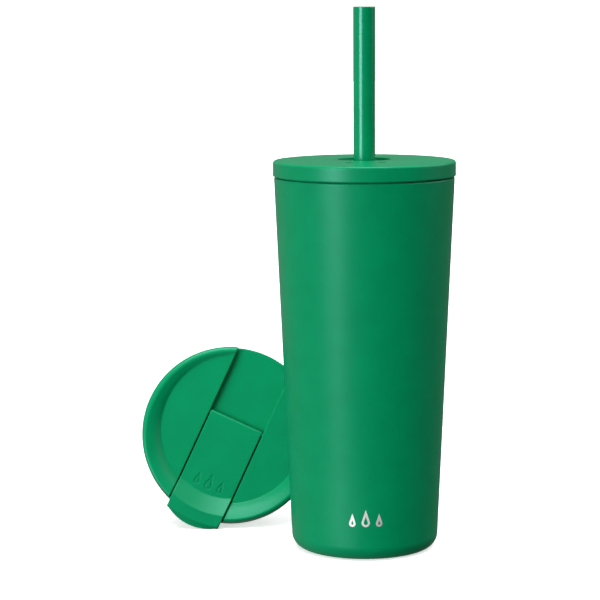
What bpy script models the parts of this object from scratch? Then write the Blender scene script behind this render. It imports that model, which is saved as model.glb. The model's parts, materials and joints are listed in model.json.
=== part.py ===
"""Vacuum-insulated tumbler with a straw lid, its straw and a second, flip-tab lid.

The tumbler stands on the table with its axis on world Z and the middle of its base at the
origin. The straw lid is on the tumbler. The flip lid stands on its rim behind the tumbler's
left side, leaning back, with its tab closed.

Dimensions are millimetres; MM turns them into Blender's metres.
"""

import math

import bmesh
import bpy
from mathutils import Matrix, Vector

MM = 0.001
WELD = 1e-7
SMOOTH_ANGLE = math.radians(32)
ROUND_STEPS = 40
SMALL_STEPS = 24
GAP = 0.3

# Tumbler: a straight cone from the base corner up to the shoulder under the lid.
SHOULDER_Z = 183.0
SHOULDER_R = 44.0
BASE_R = 35.7
CORNER_R = 7.0
WALL = 0.6
FOOT_R = 25.4
FLANGE_TOP_Z = 3.0
NECK_R = 42.2
NECK_TOP_Z = 187.4
VACUUM_GAP = 2.4
LINER_MOUTH_R = 40.26
LINER_FLOOR_Z = 9.0
LINER_CORNER_R = 8.0
LIP_OUTER_R = 42.4
LIP_Z = 187.7
LIP_ROUND = 1.07

# Base pieces, all inside the foot ring.
DISC_R = FOOT_R - GAP
BASE_COVER_TOP_Z = 1.2
BASE_PLATE_Z = 1.6
BASE_PLATE_THICK = 0.8
DIMPLE_R = 5.0
DIMPLE_DEPTH = 2.6
GETTER_X = 14.0
GETTER_R = 5.0

# Straw lid.
LID_R = 44.5
LID_TOP_Z = 191.0
LID_BOTTOM_Z = 183.5
LID_EDGE_ROUND = 1.2
LID_CROWN = 0.65
SKIRT_INNER_R = 42.9
LID_UNDERSIDE_Z = 189.3
RECESS_R = 13.0
RECESS_FLOOR_Z = 189.9
STRAW_HOLE_R = 7.2
BOSS_R = 16.5
BOSS_Z = 186.5
PLUG_R = 39.4
PLUG_INNER_R = 35.4
GROOVE_R = 37.4

# Straw.
STRAW_R = 5.3
STRAW_BORE_R = 4.5
STRAW_BOTTOM_Z = 9.3
STRAW_TOP_Z = 265.0

# Flip lid, in its own frame: +Z out of its face with 0 at the rim's crest, +Y along the
# tab's channel towards its rear end, +X across the channel.
RIM_R = 45.8
RIM_ROUND = 2.6
RIM_BEAD_Z = -5.4
FLIP_SKIRT_R = 45.4
FLIP_SEAT_Z = -6.5
FLIP_BOTTOM_Z = -12.8
COVER_PLUG_R = 39.8
COVER_PLUG_Z = -13.0
PANEL_CENTRE_Y = 3.1
PANEL_HALF_X = 37.3
PANEL_HALF_Y = 38.9
PANEL_MID_Z = -3.6
PANEL_SLOPE = 0.073
PANEL_THICK = 2.0
CHANNEL_HALF = 15.1
CHANNEL_DEPTH = 3.7
CHANNEL_FLOOR_THICK = 1.9
CHANNEL_WALL = 3.6
POCKET_R = 36.6
DRINK_HOLE_Y = -26.0
DRINK_HOLE_HALF = (7.0, 3.0)
VENT_HOLE_Y = -8.0
VENT_HOLE_R = 2.0

# Tab: a flat plate from its hinge barrel, then a rise along the bowl's wall to a lip that
# overhangs the rim. The lip's tip bulges: it reaches furthest out at its middle.
TAB_HALF = 14.4
TAB_RAISE = 0.3
HINGE_Y = 6.0
HINGE_R = 1.7
PIN_R = 0.65
PIN_HALF = 18.0
TAB_THICK = 2 * HINGE_R
STOPPER_TOP = 1.2 - TAB_THICK
TAB_BEND_R = 33.5
TAB_UNDER_BEND_R = 33.0
TAB_UNDER_TOP_R = 42.0
TAB_UNDER_TOP_Z = -3.4
LIP_EDGE_R = 49.3
LIP_TIP_R = 52.3
LIP_BULGE = 2.6
LIP_PROFILE = ((42.4, 0.3), (44.3, 1.0), (47.0, 0.9), (LIP_EDGE_R, 0.3), (51.6, -0.9), (LIP_TIP_R, -1.6))
LIP_UNDER = ((51.6, -2.2), (46.5, -3.2))

# Where the flip lid stands: the centre of its crest, how far it leans back from upright,
# how far it faces left, and how far its channel is turned clockwise from upright.
FLIP_X = -67.35
FLIP_Y = 51.4
FLIP_LEAN = math.radians(20)
FLIP_TURN = math.radians(-4)
FLIP_ROLL = math.radians(25.8)

GREEN_COAT = (0.006, 0.262, 0.110, 1.0)
GREEN_PLASTIC = (0.006, 0.268, 0.116, 1.0)
STEEL = (0.56, 0.56, 0.57, 1.0)
SILICONE = (0.62, 0.64, 0.63, 1.0)


def clear_scene():
    for item in list(bpy.data.objects):
        bpy.data.objects.remove(item)


def make_material(name, colour, metallic, roughness):
    material = bpy.data.materials.new(name)
    material.use_nodes = True
    shader = material.node_tree.nodes["Principled BSDF"]
    shader.inputs["Base Color"].default_value = colour
    shader.inputs["Metallic"].default_value = metallic
    shader.inputs["Roughness"].default_value = roughness
    material.diffuse_color = colour
    return material


def arc(centre, radius, start, end, count):
    """Points of an arc in an outline's plane, with its angles in degrees."""
    points = []
    for i in range(count + 1):
        angle = math.radians(start + (end - start) * i / count)
        points.append((centre[0] + radius * math.cos(angle), centre[1] + radius * math.sin(angle)))
    return points


def add_object(name, bm, material, parent):
    """Makes an object from a mesh in millimetres, with its faces pointing out."""
    bmesh.ops.scale(bm, vec=(MM, MM, MM), verts=bm.verts)
    bmesh.ops.remove_doubles(bm, verts=bm.verts, dist=WELD)
    bmesh.ops.recalc_face_normals(bm, faces=bm.faces)
    mesh = bpy.data.meshes.new(name)
    bm.to_mesh(mesh)
    bm.free()
    mesh.shade_smooth()
    mesh.set_sharp_from_angle(angle=SMOOTH_ANGLE)
    piece = bpy.data.objects.new(name, mesh)
    bpy.context.scene.collection.objects.link(piece)
    piece.parent = parent
    if material:
        mesh.materials.append(material)
    return piece


def turned(name, outline, material, parent=None, steps=ROUND_STEPS):
    """A body turned about Z from an outline of (radius, height) points.

    An outline whose ends are both on the axis stays open there; any other closes on itself.
    """
    bm = bmesh.new()
    ring = [bm.verts.new((radius, 0.0, height)) for radius, height in outline]
    open_ends = outline[0][0] == 0 and outline[-1][0] == 0
    following = ring[1:] if open_ends else ring[1:] + ring[:1]
    edges = [bm.edges.new(pair) for pair in zip(ring, following)]
    bmesh.ops.spin(
        bm,
        geom=ring + edges,
        cent=(0, 0, 0),
        axis=(0, 0, 1),
        angle=2 * math.pi,
        steps=steps,
        use_merge=True,
    )
    return add_object(name, bm, material, parent)


def skinned(name, rings, material, parent=None):
    """A body whose skin runs through rings of equal length, with its first and last ring capped."""
    bm = bmesh.new()
    loops = [[bm.verts.new(point) for point in ring] for ring in rings]
    count = len(loops[0])
    for lower, upper in zip(loops, loops[1:]):
        for i in range(count):
            j = (i + 1) % count
            bm.faces.new((lower[i], lower[j], upper[j], upper[i]))
    for cap in (loops[0], loops[-1]):
        bm.faces.new(cap)
    return add_object(name, bm, material, parent)


def prism(name, outline, low, high, material=None, parent=None):
    """An upright prism; low and high give its ends' heights at a point."""
    rings = [[(x, y, level(x, y)) for x, y in outline] for level in (low, high)]
    return skinned(name, rings, material, parent)


def cut(piece, cutter):
    """Takes the cutter out of the piece and keeps the cutter as a hidden helper."""
    modifier = piece.modifiers.new("cut_" + cutter.name, "BOOLEAN")
    modifier.operation = "DIFFERENCE"
    modifier.solver = "EXACT"
    modifier.object = cutter
    cutter.hide_render = True
    cutter.display_type = "WIRE"


def add_empty(name, location, parent=None):
    empty = bpy.data.objects.new(name, None)
    bpy.context.scene.collection.objects.link(empty)
    empty.empty_display_size = 10 * MM
    empty.location = Vector(location) * MM
    empty.parent = parent
    return empty


def cone_r(height):
    """The tumbler's outer radius at a height."""
    return BASE_R + (SHOULDER_R - BASE_R) * height / SHOULDER_Z


# ---- tumbler ----


def corner_centre_r(radius, height, offset):
    """How far out a corner arc's centre lies, so that the arc meets the cone it runs into."""
    slope = (SHOULDER_R - BASE_R) / SHOULDER_Z
    return cone_r(height) - offset - radius * math.hypot(1, slope)


def make_outer_shell(material):
    lean = math.degrees(math.atan2(SHOULDER_R - BASE_R, SHOULDER_Z))
    centre = (corner_centre_r(CORNER_R, CORNER_R, 0), CORNER_R)
    outline = [(FOOT_R, 0.0)]
    outline += arc(centre, CORNER_R, -90, -lean, 5)
    outline += [(cone_r(SHOULDER_Z - 0.8), SHOULDER_Z - 0.8), (SHOULDER_R - 0.8, SHOULDER_Z)]
    outline += [(NECK_R, SHOULDER_Z), (NECK_R, NECK_TOP_Z), (NECK_R - WALL, NECK_TOP_Z)]
    outline += [(NECK_R - WALL, SHOULDER_Z - WALL), (cone_r(SHOULDER_Z) - 3 * WALL, SHOULDER_Z - 2 * WALL)]
    outline += [(cone_r(SHOULDER_Z - 4) - WALL, SHOULDER_Z - 4)]
    outline += arc(centre, CORNER_R - WALL, -lean, -90, 5)
    outline += [(FOOT_R + WALL, WALL), (FOOT_R + WALL, FLANGE_TOP_Z), (FOOT_R, FLANGE_TOP_Z)]
    return turned("outer_shell", outline, material)


def make_inner_liner(material):
    inset = WALL + VACUUM_GAP
    lean = math.degrees(math.atan2(SHOULDER_R - BASE_R, SHOULDER_Z))
    centre_z = LINER_FLOOR_Z + LINER_CORNER_R
    centre = (corner_centre_r(LINER_CORNER_R, centre_z, inset + WALL), centre_z)
    straight_z = SHOULDER_Z - 3.5
    outer_r = LINER_MOUTH_R + WALL
    outline = [(0, LINER_FLOOR_Z)]
    outline += arc(centre, LINER_CORNER_R, -90, -lean, 5)
    outline += [(LINER_MOUTH_R, straight_z)]
    outline += arc((LINER_MOUTH_R + LIP_ROUND, LIP_Z + 0.1), LIP_ROUND, 180, 0, 6)
    outline += [(LIP_OUTER_R, LIP_Z), (outer_r, LIP_Z), (outer_r, straight_z)]
    outline += arc(centre, LINER_CORNER_R + WALL, -lean, -90, 5)
    outline += [(0, LINER_FLOOR_Z - WALL)]
    return turned("inner_liner", outline, material)


def make_base(steel, seal):
    floor_z = BASE_PLATE_Z + DIMPLE_DEPTH
    top_z = BASE_PLATE_Z + BASE_PLATE_THICK
    hole_r = 1.3
    plate = [(DISC_R, BASE_PLATE_Z), (DISC_R, top_z), (DIMPLE_R + 1.6, top_z)]
    plate += [(DIMPLE_R - 0.4, floor_z + BASE_PLATE_THICK), (hole_r, floor_z + BASE_PLATE_THICK)]
    plate += [(hole_r, floor_z), (DIMPLE_R, floor_z), (DIMPLE_R + 2, BASE_PLATE_Z)]
    turned("base_plate", plate, steel)
    bead = [(0, floor_z - 1.2), (DIMPLE_R - 0.8, floor_z - 1.2), (DIMPLE_R - 0.8, floor_z - GAP)]
    bead += [(hole_r - GAP, floor_z - GAP), (hole_r - GAP, floor_z + 1.4), (0, floor_z + 1.4)]
    turned("vacuum_seal", bead, seal, steps=SMALL_STEPS)
    disc = [(0, 0), (DISC_R - 0.4, 0), (DISC_R, 0.4), (DISC_R, BASE_COVER_TOP_Z), (0, BASE_COVER_TOP_Z)]
    turned("base_cover", disc, steel)
    pill = [(0, 0), (GETTER_R, 0), (GETTER_R, 1.6), (GETTER_R - 0.5, 2.0), (0, 2.0)]
    getter = turned("getter", pill, steel, steps=SMALL_STEPS)
    getter.location = Vector((GETTER_X, 0, top_z + GAP)) * MM


# ---- straw lid and straw ----


def make_straw_lid(plastic, silicone, parent):
    crown = lambda radius: LID_TOP_Z + LID_CROWN * (1 - (radius / LID_R) ** 2)
    edge_centre = (LID_R - LID_EDGE_ROUND, LID_TOP_Z - LID_EDGE_ROUND)
    cover = [(STRAW_HOLE_R, RECESS_FLOOR_Z), (RECESS_R, RECESS_FLOOR_Z), (RECESS_R, crown(RECESS_R))]
    cover += [(30.0, crown(30.0))]
    cover += arc(edge_centre, LID_EDGE_ROUND, 90, 0, 3)
    cover += [(LID_R, LID_BOTTOM_Z + 0.5), (LID_R - 0.5, LID_BOTTOM_Z), (SKIRT_INNER_R, LID_BOTTOM_Z)]
    cover += [(SKIRT_INNER_R, LID_UNDERSIDE_Z), (BOSS_R, LID_UNDERSIDE_Z), (BOSS_R, BOSS_Z)]
    cover += [(STRAW_HOLE_R, BOSS_Z)]
    turned("straw_lid_cover", cover, plastic, parent)
    make_plug_insert("straw_lid_insert", LID_UNDERSIDE_Z - GAP, STRAW_HOLE_R + 1.3, plastic, parent)
    make_gasket("straw_lid_gasket", LID_UNDERSIDE_Z - GAP, silicone, parent)
    sleeve_r = STRAW_R + GAP
    grommet = [(sleeve_r, RECESS_FLOOR_Z + 0.3), (STRAW_HOLE_R - GAP, RECESS_FLOOR_Z + 0.3)]
    grommet += [(STRAW_HOLE_R - GAP, BOSS_Z - GAP), (STRAW_HOLE_R + 1.8, BOSS_Z - GAP)]
    grommet += [(STRAW_HOLE_R + 1.8, BOSS_Z - 1.8), (sleeve_r, BOSS_Z - 1.8)]
    turned("straw_grommet", grommet, silicone, parent, SMALL_STEPS)


def make_plug_insert(name, top_z, hole_r, material, parent):
    """The part of a lid that drops into the tumbler's mouth; hole_r of 0 leaves its floor whole."""
    floor_z = top_z - 9.7
    outline = [(hole_r, floor_z), (PLUG_INNER_R, floor_z), (PLUG_INNER_R, top_z)]
    outline += [(PLUG_R, top_z), (PLUG_R, top_z - 2.6), (GROOVE_R, top_z - 2.6)]
    outline += [(GROOVE_R, top_z - 7.0), (PLUG_R - 0.4, top_z - 7.0), (PLUG_R - 0.4, top_z - 10.4)]
    outline += [(PLUG_R - 1.4, top_z - 11.4), (hole_r, top_z - 11.4)]
    return turned(name, outline, material, parent)


def make_gasket(name, plug_top_z, material, parent):
    """A silicone ring with two fins, in the plug's groove."""
    base_r = GROOVE_R + GAP
    fin_r = LINER_MOUTH_R - GAP
    top = plug_top_z - 2.6 - GAP
    outline = [(base_r, top), (base_r + 0.9, top), (fin_r, top - 0.7), (fin_r, top - 1.1)]
    outline += [(base_r + 1.0, top - 1.5), (base_r + 1.0, top - 2.3), (fin_r, top - 2.7)]
    outline += [(fin_r, top - 3.1), (base_r + 0.9, top - 3.8), (base_r, top - 3.8)]
    return turned(name, outline, material, parent)


def make_straw(material, parent):
    mid_r = (STRAW_R + STRAW_BORE_R) / 2
    half_wall = (STRAW_R - STRAW_BORE_R) / 2
    outline = arc((mid_r, STRAW_TOP_Z - half_wall), half_wall, 0, 180, 4)
    outline += arc((mid_r, STRAW_BOTTOM_Z + half_wall), half_wall, 180, 360, 4)
    turned("straw", outline, material, parent, SMALL_STEPS)


# ---- flip lid ----


def panel_z(y):
    """The height of the lid's two flat panels, which slope down towards the drinking side."""
    return PANEL_MID_Z + PANEL_SLOPE * y


def tab_z(y):
    """The height of the tab's flat top, which stands a little proud of the panels."""
    return panel_z(y) + TAB_RAISE


def hinge_point():
    """Where the tab's hinge axis crosses the channel's middle."""
    return (0, HINGE_Y, tab_z(HINGE_Y) - HINGE_R)


def panel_edge_r(angle):
    """How far the panels' oval edge is from the lid's axis, in a direction."""
    across = math.cos(angle) / PANEL_HALF_X
    along = math.sin(angle) / PANEL_HALF_Y
    centre = PANEL_CENTRE_Y / PANEL_HALF_Y
    square = across**2 + along**2
    return (along * centre + math.sqrt((along * centre) ** 2 + square * (1 - centre**2))) / square


def rim_z(radius):
    """The height of the rim's rounded inner side."""
    return math.sqrt(RIM_ROUND**2 - (RIM_R - RIM_ROUND - radius) ** 2) - RIM_ROUND


def bowl_ring(steps, inner):
    """One ring of the bowl; inner 0 is the panels' edge, and 1 to 3 climb the rim's rounded side."""
    crest_r = RIM_R - RIM_ROUND
    wanted = (0, crest_r - 0.71 * RIM_ROUND, crest_r - 0.36 * RIM_ROUND, crest_r - 0.05)[inner]
    ring = []
    for i in range(steps):
        angle = 2 * math.pi * i / steps
        radius = max(wanted, panel_edge_r(angle) + 0.08 * inner)
        x, y = radius * math.cos(angle), radius * math.sin(angle)
        ring.append((x, y, rim_z(radius) if inner else panel_z(y)))
    return ring


def make_bowl_cutter(parent):
    rings = [bowl_ring(ROUND_STEPS, inner) for inner in range(4)]
    rings.append([(x * 1.003, y * 1.003, 5.0) for x, y, _ in rings[-1]])
    return skinned("bowl_cutter", rings, None, parent)


def across(half, count=12):
    return [half * (2 * i / count - 1) for i in range(count + 1)]


def arc_y(radius, x):
    """Where an arc about the lid's axis passes x at the drinking side; the lip's tip bulges."""
    tip_share = min(max((radius - LIP_EDGE_R) / (LIP_TIP_R - LIP_EDGE_R), 0), 1)
    radius -= LIP_BULGE * tip_share * (x / TAB_HALF) ** 2
    return -math.sqrt(radius**2 - x**2)


def section_ring(x, section):
    """The points of a section at a distance x off the channel's middle.

    A section's point is (y, height) on a straight line across the channel, or ("arc",
    radius, height) on an arc about the lid's axis, at its drinking side. A height is a
    number, or a function of y.
    """
    ring = []
    for point in section:
        y = arc_y(point[1], x) if point[0] == "arc" else point[0]
        height = point[-1]
        ring.append((x, y, height(y) if callable(height) else height))
    return ring


def make_channel_cutter(parent):
    floor = lambda y: panel_z(y) - CHANNEL_DEPTH
    section = [(60.0, 12.0), (60.0, floor), (HINGE_Y, floor), ("arc", TAB_UNDER_BEND_R, floor)]
    section += [("arc", TAB_UNDER_TOP_R, TAB_UNDER_TOP_Z - GAP), ("arc", 60.0, TAB_UNDER_TOP_Z - GAP)]
    section += [("arc", 60.0, 12.0)]
    rings = [section_ring(x, section) for x in across(CHANNEL_HALF)]
    return skinned("channel_cutter", rings, None, parent)


def segment_outline(radius, low_x, high_x, count=14):
    """The part of a disc that lies between two lines parallel to Y."""
    points = []
    for side in (1, -1):
        for i in range(count + 1):
            share = i / count if side == 1 else 1 - i / count
            x = low_x + (high_x - low_x) * share
            points.append((x, side * -math.sqrt(max(radius**2 - x**2, 0))))
    unique = []
    for point in points:
        if not unique or math.dist(point, unique[-1]) > 0.01:
            unique.append(point)
    return unique if math.dist(unique[0], unique[-1]) > 0.01 else unique[:-1]


def stadium(half_x, half_y, centre_y, count=6):
    ends = arc((half_x - half_y, centre_y), half_y, -90, 90, count)
    return ends + arc((half_y - half_x, centre_y), half_y, 90, 270, count)


def make_pin_hole_cutter(parent):
    hole = [(0, -PIN_HALF - GAP), (PIN_R + GAP, -PIN_HALF - GAP), (PIN_R + GAP, PIN_HALF + GAP)]
    cutter = turned("pin_hole_cutter", hole + [(0, PIN_HALF + GAP)], None, parent, SMALL_STEPS)
    cutter.rotation_euler = (0, math.radians(90), 0)
    cutter.location = Vector(hinge_point()) * MM
    return cutter


def flip_cover_blank(material, parent):
    outline = [(0, 0.0)]
    outline += arc((RIM_R - RIM_ROUND, -RIM_ROUND), RIM_ROUND, 90, 0, 4)
    outline += [(RIM_R, RIM_BEAD_Z), (FLIP_SKIRT_R, RIM_BEAD_Z - 0.8), (FLIP_SKIRT_R, FLIP_BOTTOM_Z + 0.5)]
    outline += [(FLIP_SKIRT_R - 0.5, FLIP_BOTTOM_Z), (SKIRT_INNER_R, FLIP_BOTTOM_Z)]
    outline += [(SKIRT_INNER_R, FLIP_SEAT_Z), (COVER_PLUG_R, FLIP_SEAT_Z), (COVER_PLUG_R, COVER_PLUG_Z)]
    outline += [(0, COVER_PLUG_Z)]
    return turned("flip_lid_cover", outline, material, parent)


def make_flip_cover(material, parent):
    cover = flip_cover_blank(material, parent)
    cut(cover, make_bowl_cutter(parent))
    cut(cover, make_channel_cutter(parent))
    below = lambda x, y: COVER_PLUG_Z - 5
    wall_x = CHANNEL_HALF + CHANNEL_WALL
    pockets = (
        ("left", -POCKET_R, -wall_x, PANEL_THICK),
        ("middle", -CHANNEL_HALF, CHANNEL_HALF, CHANNEL_DEPTH + CHANNEL_FLOOR_THICK),
        ("right", wall_x, POCKET_R, PANEL_THICK),
    )
    for side, low_x, high_x, depth in pockets:
        ceiling = lambda x, y, depth=depth: min(panel_z(y) - depth, FLIP_SEAT_Z + 1.5)
        outline = segment_outline(POCKET_R, low_x, high_x)
        cut(cover, prism(side + "_pocket_cutter", outline, below, ceiling, None, parent))
    top = lambda x, y: 0.0
    slot = stadium(*DRINK_HOLE_HALF, DRINK_HOLE_Y)
    cut(cover, prism("drink_hole_cutter", slot, below, top, None, parent))
    vent = arc((0, VENT_HOLE_Y), VENT_HOLE_R, 0, 330, 11)
    cut(cover, prism("vent_hole_cutter", vent, below, top, None, parent))
    cut(cover, make_pin_hole_cutter(parent))


def make_flip_insert(material, parent):
    top_z = COVER_PLUG_Z - GAP
    insert = make_plug_insert("flip_lid_insert", top_z, 0, material, parent)
    low = lambda x, y: top_z - 20
    high = lambda x, y: top_z - 5
    slot = stadium(*DRINK_HOLE_HALF, DRINK_HOLE_Y)
    cut(insert, prism("insert_hole_cutter", slot, low, high, None, parent))
    vent = arc((0, VENT_HOLE_Y), VENT_HOLE_R, 0, 330, 11)
    cut(insert, prism("insert_vent_cutter", vent, low, high, None, parent))


def make_hinge_pin(material, parent):
    outline = [(0, -PIN_HALF), (PIN_R, -PIN_HALF), (PIN_R, PIN_HALF), (0, PIN_HALF)]
    pin = turned("hinge_pin", outline, material, parent, SMALL_STEPS)
    pin.rotation_euler = (0, math.radians(90), 0)
    pin.location = Vector(hinge_point()) * MM


def tab_section():
    """The tab's outline along the channel: barrel, flat top, rise, lip, and back underneath."""
    under = lambda y: tab_z(y) - TAB_THICK
    section = arc(hinge_point()[1:], HINGE_R, -90, 90, 8)
    section.append(("arc", TAB_BEND_R, tab_z))
    section += [("arc", radius, height) for radius, height in LIP_PROFILE]
    section += [("arc", radius, height) for radius, height in LIP_UNDER]
    section.append(("arc", TAB_UNDER_TOP_R, TAB_UNDER_TOP_Z))
    section.append(("arc", TAB_UNDER_BEND_R, under))
    return section


def hinge_frame(rings):
    """Moves rings from the lid's frame to the tab's, whose origin is on the hinge axis."""
    _, hinge_y, hinge_z = hinge_point()
    return [[(x, y - hinge_y, z - hinge_z) for x, y, z in ring] for ring in rings]


def tab_rings(outline, levels):
    """Rings of an outline, each given by its inset and its height over the tab's flat top."""
    return [[(x, y, tab_z(y) + level) for x, y in outline(inset)] for inset, level in levels]


def make_tab(plastic, silicone, parent):
    rings = [section_ring(x, tab_section()) for x in across(TAB_HALF)]
    tab = skinned("flip_tab", hinge_frame(rings), plastic, parent)
    length = TAB_HALF + 2
    bore = [(0, -length), (PIN_R + GAP, -length), (PIN_R + GAP, length), (0, length)]
    bore_cutter = turned("tab_bore_cutter", bore, None, parent, SMALL_STEPS)
    bore_cutter.rotation_euler = (0, math.radians(90), 0)
    cut(tab, bore_cutter)
    drink = lambda inset: stadium(DRINK_HOLE_HALF[0] - inset, DRINK_HOLE_HALF[1] - inset, DRINK_HOLE_Y)
    vent = lambda inset: arc((0, VENT_HOLE_Y), VENT_HOLE_R - inset, 0, 330, 11)
    for name, outline in (("tab_stopper", drink), ("vent_stopper", vent)):
        pocket = tab_rings(outline, ((0, STOPPER_TOP), (0, -TAB_THICK - 3.0)))
        cut(tab, skinned(name + "_pocket_cutter", hinge_frame(pocket), None, parent))
        plug = ((GAP, STOPPER_TOP - GAP), (GAP, -CHANNEL_DEPTH), (2.5 * GAP, -CHANNEL_DEPTH - 3.2))
        skinned(name, hinge_frame(tab_rings(outline, plug)), silicone, parent)


def stand_on_table(frame):
    """Moves a frame so that the lowest point of what it carries is at the table, z = 0."""
    bpy.context.view_layer.update()
    lowest = math.inf
    for piece in frame.children_recursive:
        if piece.type == "MESH" and not piece.hide_render:
            heights = [(piece.matrix_world @ vertex.co).z for vertex in piece.data.vertices]
            lowest = min(lowest, *heights)
    frame.location.z -= lowest
    bpy.context.view_layer.update()


def make_flip_lid(plastic, silicone):
    frame = add_empty("flip_lid_frame", (FLIP_X, FLIP_Y, RIM_R))
    turn = Matrix.Rotation(-FLIP_TURN, 4, "Z")
    tip = Matrix.Rotation(math.radians(90) - FLIP_LEAN, 4, "X")
    roll = Matrix.Rotation(-FLIP_ROLL, 4, "Z")
    frame.rotation_euler = (turn @ tip @ roll).to_euler()
    make_flip_cover(plastic, frame)
    make_flip_insert(plastic, frame)
    make_gasket("flip_lid_gasket", COVER_PLUG_Z - GAP, silicone, frame)
    make_hinge_pin(plastic, frame)
    hinge = add_empty("flip_tab_frame", hinge_point(), frame)
    make_tab(plastic, silicone, hinge)
    stand_on_table(frame)


def main():
    clear_scene()
    coat = make_material("powder_coat", GREEN_COAT, 0.0, 0.55)
    plastic = make_material("lid_plastic", GREEN_PLASTIC, 0.0, 0.42)
    steel = make_material("steel", STEEL, 1.0, 0.32)
    silicone = make_material("silicone", SILICONE, 0.0, 0.6)
    seal = make_material("seal_glass", (0.3, 0.34, 0.33, 1.0), 0.0, 0.2)
    make_outer_shell(coat)
    make_inner_liner(steel)
    make_base(steel, seal)
    straw_lid_frame = add_empty("straw_lid_frame", (0, 0, 0))
    make_straw_lid(plastic, silicone, straw_lid_frame)
    straw_frame = add_empty("straw_frame", (0, 0, 0), straw_lid_frame)
    make_straw(plastic, straw_frame)
    make_flip_lid(plastic, silicone)


main()
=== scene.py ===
"""The looks of a vacuum-insulated tumbler with a straw lid, its straw and a spare flip-tab lid.

The tumbler's axis is world Z. The flip lid is shaped in its own frame: +Z out of its face with
0 at the rim's crest, +Y along the tab's channel towards its rear end, +X across the channel.
Lengths are millimetres until a mesh is made; MM turns them into metres.
"""

import json
import math

import bmesh
import bpy
import numpy as np
from mathutils import Matrix, Vector


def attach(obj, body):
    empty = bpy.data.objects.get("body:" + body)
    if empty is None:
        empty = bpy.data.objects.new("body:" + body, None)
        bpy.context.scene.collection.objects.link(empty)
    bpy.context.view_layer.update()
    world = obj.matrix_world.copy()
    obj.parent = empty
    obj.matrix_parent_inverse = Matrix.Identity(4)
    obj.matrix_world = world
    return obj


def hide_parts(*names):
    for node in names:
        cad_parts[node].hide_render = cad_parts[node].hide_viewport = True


MM = 0.001
ROUND_STEPS = 144
ARC_STEP = math.radians(11)
SUPPORT = 0.3
SHARP_ANGLE = math.radians(34)

# Tumbler.
SHOULDER_Z = 183.0
SHOULDER_R = 44.0
BASE_R = 35.7
BASE_CORNER_R = 7.0
WALL = 0.6
FOOT_R = 25.4
FLANGE_TOP_Z = 3.0
NECK_R = 42.2
NECK_TOP_Z = 187.4
LINER_INSET = 3.0
LINER_MOUTH_R = 40.26
LINER_FLOOR_Z = 9.0
LINER_CORNER_R = 8.0
LINER_STRAIGHT = 3.5
LINER_BEND_R = 4.0
LIP_Z = 187.7
LIP_ROUND = 1.07
LIP_STEPS = 12
DISC_R = 25.1
DISC_TOP_Z = 1.2

# Straw lid.
LID_R = 44.5
LID_TOP_Z = 191.0
LID_BOTTOM_Z = 183.5
LID_EDGE_ROUND = 1.2
LID_CROWN = 0.65
SKIRT_INNER_R = 42.9
LID_UNDERSIDE_Z = 189.3
RECESS_R = 13.0
RECESS_FLOOR_Z = 189.9
STRAW_HOLE_R = 7.2
BOSS_R = 16.5
BOSS_Z = 186.5
PLUG_R = 39.4
PLUG_INNER_R = 35.4
GROOVE_R = 37.4
PLUG_FLOOR_DROP = 9.7
PLUG_FOOT_DROP = 11.4
GROOVE_TOP_DROP = 2.6
GROOVE_FOOT_DROP = 7.0
RING_CORE = 0.9
VENT_SLOT = (2.1, 1.5)
VENT_SLOT_AT = (7.9, -22.0)
VENT_SLOT_DEPTH = 0.6
STRAW_R = 5.3
STRAW_BORE_R = 4.5
STRAW_BOTTOM_Z = 9.3
STRAW_TOP_Z = 265.0
GAP = 0.3

# Camera: its place in metres and its turns in radians.
CAMERA_LENS = 140.7
CAMERA_SENSOR = 36
CAMERA_AT = (-0.03155, -1.13799, 0.27257)
CAMERA_PITCH = 0.131
CAMERA_ROLL = 0.0047

# Studio. A sun has its azimuth left of the camera, its elevation and its angle, in degrees, and its
# strength. The card has its place and size in metres and its power.
SKY_BRIGHT_SIDE = (-0.75, 0.4, 0.3)
SKY_LEVEL = 0.29
SKY_SLANT = 0.28
SUNS = (
    ("key", 40, 5, 30, 2.3),
    ("top", 0, 82, 50, 3.5),
    ("right_edge", -100, 30, 60, 1.3),
)
SKY_GLOSS = 0.5
CAMERA_SKY = 1.1
FLOOR_CARD = ((-0.055, -0.09, 0.001), 0.09, 0.025)
FLOOR_HALF = 6

# Emblem: three drops, each with its place across and its size as shares of the emblem's height,
# and each drop's round end as a share of the drop's own height.
DROP_ROW = ((-0.76, 0.78), (0.0, 1.0), (0.76, 0.78))
DROP_ROUND = 0.24
EMBLEM_HEIGHT = 8.5
EMBLEM_AT = (-0.5, 21.6)
EMBLEM_STROKE = 1.05
EMBLEM_PROUD = 0.05
EMBLEM_SUNK = 0.12
TAB_EMBLEM_HEIGHT = 8.4
TAB_EMBLEM_AT = (0.4, -29.0)
TAB_EMBLEM_HALF_STROKE = 0.45
TAB_EMBLEM_DEPTH = 0.22

# Flip lid.
RIM_R = 45.8
RIM_ROUND = 2.6
RIM_THIN = 1.7
RIM_HUMP = 0.07
RIM_STEEPEST = math.radians(75)
RIM_FLAT_LENGTH = 2.0
RIM_BEAD_Z = -5.4
FLIP_SKIRT_R = 45.4
FLIP_SEAT_Z = -6.5
FLIP_BOTTOM_Z = -12.8
COVER_PLUG_R = 39.8
COVER_PLUG_Z = -13.0
PANEL_CENTRE_Y = 3.1
PANEL_HALF_X = 37.3
PANEL_HALF_Y = 38.9
PANEL_MID_Z = -3.6
PANEL_SLOPE = 0.073
PANEL_THICK = 2.0
CHANNEL_HALF = 15.1
CHANNEL_DEPTH = 3.7
CHANNEL_FLOOR_THICK = 1.9
CHANNEL_WALL = 3.6
CHANNEL_RAMP_Y = -12
CHANNEL_REAR_Y = 38
POCKET_DEPTH_OVER_SEAT = 1.5
POCKET_R = 36.6
DRINK_HOLE_Y = -26.0
DRINK_HOLE_HALF = (7.0, 3.0)
VENT_HOLE_Y = -8.0
VENT_HOLE_R = 2.0
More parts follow.
